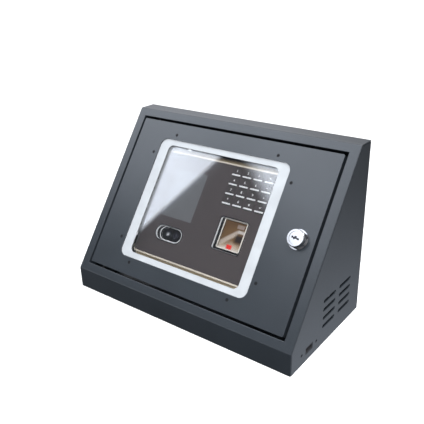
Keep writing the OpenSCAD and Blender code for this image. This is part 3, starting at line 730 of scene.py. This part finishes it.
hood_mesh = turned("lens_hood", HOOD_STEPS)
place_on_slope(hood_mesh, *lens_centre, floor_n)
add_piece("lens_hood", hood_mesh, [bezel_plastic], "case")
# painted highlight: a grey halo ring and a pale spot stand in for the glint that the lens's coating would mirror
LENS_RINGS = {"lens_iris": (1.0, 2.5, 0.20), "lens_core": (0.05, 1.05, 0.80)}      # inner, outer, grey
GLINT = Vector((1.2 * MM, -0.7 * MM))      # the bright spot lies a little off the middle of the lens
GLINT_SINK = 0.15 * MM
for name, (inner, outer, grey) in LENS_RINGS.items():
    mesh = turned(name, [(inner, 0), (outer, 0), (outer, 0.2), (inner, 0.3)])
    place_on_slope(mesh, *(Vector(lens_centre) + GLINT), lens_high.z - GLINT_SINK)
    finish = plastic(name + "_glint", (grey, grey, grey * 1.05), 0.3, 1.0, 0.003)
    add_piece(name, mesh, [finish], "case")
print("hood round a lens of radius, mm:", round(lens_radius / MM, 1))

# %% [markdown]
# Above and below its face the terminal's front slopes away, and a bronze strip covers each slope. A
# thin bright bead closes the strip's far edge.

# %% Bronze strips beside the face
trim_low, trim_high = slope_box("face_trim")
trim_half_w, trim_half_h = (trim_high.x - trim_low.x) / 2, (trim_high.y - trim_low.y) / 2
STRIP_HALF = trim_half_w - 4.5 * MM
STRIP_START, STRIP_END = 0.2 * MM, 5.9 * MM      # from the trim's edge, outwards
STRIP_RISE = 0.35 * MM
STRIP_LEAD = 1.1 * MM          # how far inside the trim's edge the slope of the shell begins
STRIP_FALL = 5.7 / 6.2         # the shell falls 5.7 over 6.2 out


def strip_mesh(name, side):
    """A flat strip that falls as steeply as the shell under it."""
    bm = bmesh.new()
    rings = []
    for x in (-STRIP_HALF, STRIP_HALF):
        ring = []
        for out, lift in ((STRIP_START, 0), (STRIP_END, 0), (STRIP_END, 1), (STRIP_START, 1)):
            n = -(out + STRIP_LEAD) * STRIP_FALL + lift * STRIP_RISE
            ring.append(bm.verts.new((x, side * (trim_half_h + out), n)))
        rings.append(ring)
    for i in range(4):
        j = (i + 1) % 4
        bm.faces.new((rings[0][i], rings[0][j], rings[1][j], rings[1][i]))
    bm.faces.new(rings[0])
    bm.faces.new(rings[1][::-1])
    return finished_mesh(name, bm)

# %% Bright beads
BEAD_WIDTH, BEAD_RISE = 2.1 * MM, 0.55 * MM
BEAD_INSET, BEAD_CORNER = 0.4 * MM, 6 * MM
BEAD_TAIL = 0.8 * MM         # how far the bead goes on down the face's side after its corner
ARC_STEPS = 8


def bead_mesh(name, side):
    """The bright bead along one edge of the face, with both ends turned round its corners."""
    half_w, half_h = trim_half_w - BEAD_INSET, trim_half_h - BEAD_INSET
    turn_u, turn_v = half_w - BEAD_CORNER, half_h - BEAD_CORNER      # middles of the corner arcs
    path = [(-half_w, turn_v - BEAD_TAIL)]
    for centre, start in ((-turn_u, 180), (turn_u, 90)):
        for i in range(ARC_STEPS + 1):
            a = math.radians(start - 90 * i / ARC_STEPS)
            path.append((centre + BEAD_CORNER * math.cos(a), turn_v + BEAD_CORNER * math.sin(a)))
    path.append((half_w, turn_v - BEAD_TAIL))
    curve = bpy.data.curves.new(name, "CURVE")
    curve.dimensions = "3D"
    curve.bevel_depth = BEAD_WIDTH / 2
    curve.bevel_resolution = 3
    curve.use_fill_caps = True
    spline = curve.splines.new("POLY")
    spline.points.add(len(path) - 1)
    for point, (x, y) in zip(spline.points, path):
        point.co = (x, side * y, 0, 1)
    temp = bpy.data.objects.new(name, curve)
    mesh = bpy.data.meshes.new_from_object(temp)
    bpy.data.objects.remove(temp)
    bpy.data.curves.remove(curve)
    mesh.transform(Matrix.Diagonal((1, 1, 2 * BEAD_RISE / BEAD_WIDTH, 1)))
    mesh.name = name
    return mesh


for name, side in (("upper", 1), ("lower", -1)):
    mesh = strip_mesh(name + "_strip", side)
    place_on_slope(mesh, face_middle.x, face_middle.y, face_n)
    add_piece(name + "_strip", mesh, [bronze], "case")
    mesh = bead_mesh(name + "_bead", side)
    place_on_slope(mesh, face_middle.x, face_middle.y, face_n)
    bead = add_piece(name + "_bead", mesh, [cream_line], "case")
    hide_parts("face_trim")
print("bronze strips and bright beads laid")

# %% [markdown]
# The object stands on a plain pale floor in front of a white backdrop, like a product in a studio.
# The paint mirrors neither of them, or it would turn grey: they show only to the camera. The floor
# also takes the soft shadow.

# %% Helpers for the studio
def add_stage(name, points, faces, material, hidden_from):
    """Adds a piece of the studio; hidden_from lists the kinds of rays that pass it by."""
    mesh = bpy.data.meshes.new(name)
    mesh.from_pydata(points, [], faces)
    mesh.materials.append(material)
    obj = bpy.data.objects.new(name, mesh)
    bpy.context.scene.collection.objects.link(obj)
    for rays in hidden_from:
        setattr(obj, "visible_" + rays, False)
    return mesh


def glowing_material(name):
    """A material that only gives light, with its tree and its Emission node."""
    m, tree, shader = new_material(name)
    tree.nodes.remove(shader)
    shine = add_node(tree, "ShaderNodeEmission")
    tree.links.new(shine.outputs[0], tree.nodes["Material Output"].inputs["Surface"])
    return m, tree, shine

# %% Lay the floor and stand the backdrop
m_floor, tree, shader = new_material("floor_paper")
paper = object_noise(tree, 200, 2.0)
pale = ramp(tree, paper.outputs["Fac"], [(0.3, 0.80), (0.7, 0.82)])
tree.links.new(pale.outputs["Color"], shader.inputs["Base Color"])
shader.inputs["Roughness"].default_value = 0.9
FLOOR_HALF = 8.0
corners = [(x * FLOOR_HALF, y * FLOOR_HALF, 0) for x, y in ((-1, -1), (1, -1), (1, 1), (-1, 1))]
add_stage("floor", corners, [(0, 1, 2, 3)], m_floor, ["glossy", "diffuse"])

BACKDROP_HEIGHT, BACKDROP_SIDES = 12.0, 48
angles = [math.radians(360 * i / BACKDROP_SIDES) for i in range(BACKDROP_SIDES)]
wall_points = [(FLOOR_HALF * math.cos(a), FLOOR_HALF * math.sin(a), z)
               for z in (0, BACKDROP_HEIGHT) for a in angles]
wall_faces = [(i, (i + 1) % BACKDROP_SIDES, BACKDROP_SIDES + (i + 1) % BACKDROP_SIDES, BACKDROP_SIDES + i)
              for i in range(BACKDROP_SIDES)]
add_stage("backdrop", wall_points, wall_faces, glowing_material("backdrop_white")[0],
          ["diffuse", "glossy", "transmission", "shadow"])
print("floor and backdrop stand")

# %% [markdown]
# A broad overhead light leaves only a soft shadow. Dark gloss is lit by what it mirrors, so the room
# round the case matters more than any lamp: it is dim low down, paler high up, and has a few soft
# glows where the sides, the folds and the back mirror them.

# %% Overhead light
def add_light(name, kind, energy, aim):
    data = bpy.data.lights.new(name, kind)
    data.energy = energy
    lamp = bpy.data.objects.new(name, data)
    bpy.context.scene.collection.objects.link(lamp)
    lamp.rotation_mode = "QUATERNION"
    lamp.rotation_quaternion = aim.to_track_quat("-Z", "Y")
    return lamp


SUN_STRENGTH, SUN_AIM = 3.2, Vector((-0.30, 0.06, -1))
sun = add_light("overhead", "SUN", SUN_STRENGTH, SUN_AIM)
sun.data.angle = math.radians(50)      # a wide sun has a soft shadow

# %% The room that the paint mirrors
world = bpy.data.worlds.new("pale_room")
world.use_nodes = True
tree = world.node_tree
where = add_node(tree, "ShaderNodeTexCoord")
height = add_node(tree, "ShaderNodeSeparateXYZ", [(where.outputs["Generated"], 0)])
from_below = add_node(tree, "ShaderNodeMapRange", [(height.outputs[2], 0)], From_Min=-1.0)
sky = ramp(tree, from_below.outputs[0], [(0.0, 0.02), (0.45, 0.05), (0.55, 0.16), (0.75, 0.34), (1.0, 0.5)])


def add_glow(under, direction, edge, colour):
    """Adds a soft round glow to the room: full at direction, gone where the cosine falls to edge."""
    toward = add_node(tree, "ShaderNodeVectorMath", [(where.outputs["Generated"], 0)],
                      operation="DOT_PRODUCT")
    toward.inputs[1].default_value = Vector(direction).normalized()
    near = add_node(tree, "ShaderNodeMapRange", [(toward.outputs["Value"], 0)],
                    interpolation_type="SMOOTHSTEP", From_Min=edge)
    glow = ramp(tree, near.outputs[0], [(0.0, 0.0), (1.0, colour)])
    return mix_colours(tree, 1.0, under, glow.outputs["Color"], "ADD")


GLOWS = [      # direction, cosine at its edge, colour
    ((0.37, 0.50, -0.78), 0.80, (0.50, 0.55, 0.63)),        # low on the right, for the right side
    ((-0.56, 0.62, 0.55), 0.88, (0.75, 0.78, 0.86)),        # high behind, for the top's fold
    ((0.84, 0.54, -0.05), 0.86, (0.60, 0.64, 0.70)),        # behind, for the rear cover
    ((-0.82, -0.56, -0.12), 0.86, (0.12, 0.13, 0.15)),      # weak, for the left side
    ((-0.56, -0.79, 0.12), 0.955, (0.9, 0.95, 1.0)),        # narrow and low in front, for the lip's fold
]
room = sky.outputs["Color"]
for direction, edge, colour in GLOWS:
    room = add_glow(room, direction, edge, colour)
tree.links.new(room, tree.nodes["Background"].inputs["Color"])
bpy.context.scene.world = world
bpy.context.scene.view_settings.view_transform = "Standard"
print("glows in the room:", len(GLOWS))

# %% [markdown]
# A pale card hangs where the door and the pane mirror it into the camera, up and to the left. Each of
# its points is found from the door: a line from the camera bounces off the pane and runs on to the
# card, so shapes drawn on the card in the door's millimetres appear there. Its lower edge is cut in
# two slopes, which leaves a dark wedge between pale corners in the pane. Its right edge fades out, and
# its low left corner is cut off, so that the door grows darker towards its foot.

# %% Sizes of the card
CARD_DISTANCE = 1.1
CARD_STRENGTH = 2.25
CARD_COLOUR = (0.88, 0.94, 1.04, 1)
CARD_DIM = 0.03          # the share of its strength that is left in the dark parts
CARD_SPAN = (-330, 430, -190, 420)    # reach on the door, mm from its middle: left, right, low, high
CARD_STEPS = 20
# lines on the door: slope, height in mm at the middle, and softness in mm
WEDGE_LEFT, WEDGE_RIGHT, WEDGE_TOP = (1.47, 74, 16), (-1.0, 84, 34), (0, 74, 40)
LOW_LEFT_CUT = (-0.9, -158, 60)
CARD_RIGHT, CARD_RIGHT_SOFT = 205, 60      # where the card ends, and how softly, in mm
CARD_STEEP = 8                             # the slope of the line that stands for the upright end


pane_n = slope_box("window_pane")[1].z


def mirrored_point(u, v):
    """Where the line from the camera goes after the pane, at the card's distance."""
    point = slope_matrix @ Vector((u * MM, v * MM, pane_n))
    view = (point - camera.matrix_world.translation).normalized()
    bounced = view - 2 * view.dot(N) * N
    return point + bounced * CARD_DISTANCE

# %% Pattern on the card
m_card, tree, shine = glowing_material("card_light")
map_uv = add_node(tree, "ShaderNodeUVMap", uv_map="door_mm")
axes = add_node(tree, "ShaderNodeSeparateXYZ", [(map_uv.outputs[0], 0)])


def beyond_line(slope, offset, soft):
    """0 below the line v = slope * u + offset, rising to 1 over soft mm above it."""
    line = sum_node(tree, "MULTIPLY_ADD", axes.outputs[0], slope, offset)
    over = sum_node(tree, "SUBTRACT", axes.outputs[1], line)
    rise = add_node(tree, "ShaderNodeMapRange", [(over, 0)], interpolation_type="SMOOTHSTEP", From_Max=soft)
    return rise.outputs[0]


pale = sum_node(tree, "MAXIMUM", beyond_line(*WEDGE_LEFT), beyond_line(*WEDGE_RIGHT))
pale = sum_node(tree, "MAXIMUM", pale, beyond_line(*WEDGE_TOP))
right_end = beyond_line(CARD_STEEP, -CARD_STEEP * CARD_RIGHT, CARD_STEEP * CARD_RIGHT_SOFT)
pale = sum_node(tree, "MINIMUM", pale, right_end)
pale = sum_node(tree, "MINIMUM", pale, beyond_line(*LOW_LEFT_CUT))
fade = add_node(tree, "ShaderNodeMapRange", [(pale, 0)],
                To_Min=CARD_STRENGTH * CARD_DIM, To_Max=CARD_STRENGTH)
tree.links.new(fade.outputs[0], shine.inputs["Strength"])
shine.inputs["Color"].default_value = CARD_COLOUR

# %% Hang the card
left, right, low, high = CARD_SPAN
spots = [(left + (right - left) * i / CARD_STEPS, low + (high - low) * j / CARD_STEPS)
         for j in range(CARD_STEPS + 1) for i in range(CARD_STEPS + 1)]
row = CARD_STEPS + 1
squares = [(j * row + i, j * row + i + 1, (j + 1) * row + i + 1, (j + 1) * row + i)
           for j in range(CARD_STEPS) for i in range(CARD_STEPS)]
card_mesh = add_stage("card", [mirrored_point(u, v) for u, v in spots], squares, m_card,
                      ["camera", "shadow"])
card_uv = card_mesh.uv_layers.new(name="door_mm")
for loop in card_mesh.loops:
    card_uv.data[loop.index].uv = spots[loop.vertex_index]
print("card hangs, squares:", len(squares))

# %% [markdown]
# The card lights only what mirrors it. The terminal behind the pane is lit by a round lamp beside the
# camera, which the paint and the pane do not mirror.

# %% A lamp for the terminal behind the pane
FRONT_DIRECTION = Vector((0.42, -0.70, 0.58)).normalized()
FRONT_DISTANCE = 1.7
FRONT_STRENGTH = 46
front_lamp = add_light("front_panel", "AREA", FRONT_STRENGTH, -FRONT_DIRECTION)
front_lamp.data.shape = "DISK"
front_lamp.data.size = 0.5
front_lamp.location = door_middle + FRONT_DIRECTION * FRONT_DISTANCE
front_lamp.visible_camera = False
front_lamp.visible_glossy = False
print("light ready")
